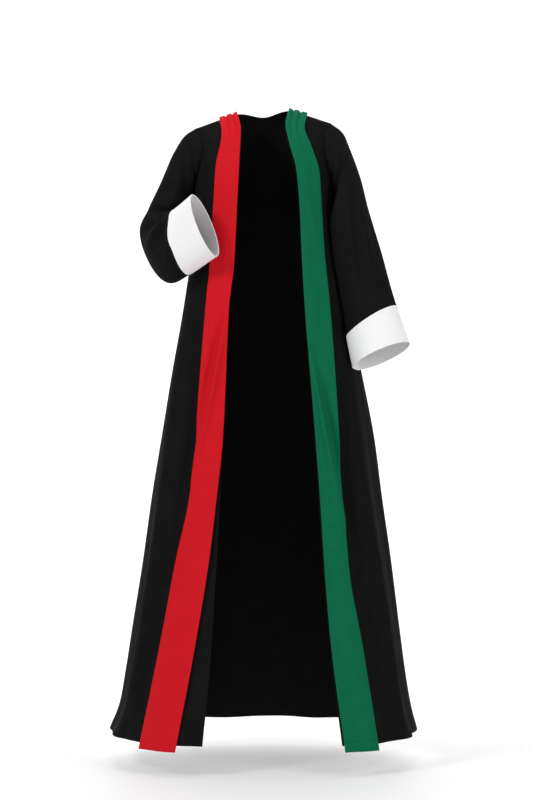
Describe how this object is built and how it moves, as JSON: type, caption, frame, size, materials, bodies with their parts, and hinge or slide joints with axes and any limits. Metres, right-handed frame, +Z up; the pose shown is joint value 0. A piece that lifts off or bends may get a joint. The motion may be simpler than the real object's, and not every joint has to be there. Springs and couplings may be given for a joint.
{
  "type": "open front abaya",
  "caption": "Ankle-length open-front robe as worn, wide set-in sleeves with white turned cuffs, long red and green bands over the front edges.",
  "frame": {"origin": "midway between the two neck points, where the shoulder seams meet the neck, on the shoulders that hold the garment", "axes": "+Z up, +X towards the wearer's left, -Y out of the open front"},
  "size_m": [0.7373, 0.584, 1.4926],
  "materials": {
    "black_crepe": "matte black crepe",
    "white_crepe": "matte white crepe",
    "red_crepe": "matte red crepe",
    "green_crepe": "matte green crepe"
  },
  "bodies": {
    "root": {"back": "black_crepe", "front_right": "black_crepe", "front_left": "black_crepe", "sleeve_right": "black_crepe", "sleeve_left": "black_crepe", "cuff_right": "white_crepe", "cuff_left": "white_crepe", "band_red": "red_crepe", "band_green": "green_crepe"}
  },
  "joints": []
}
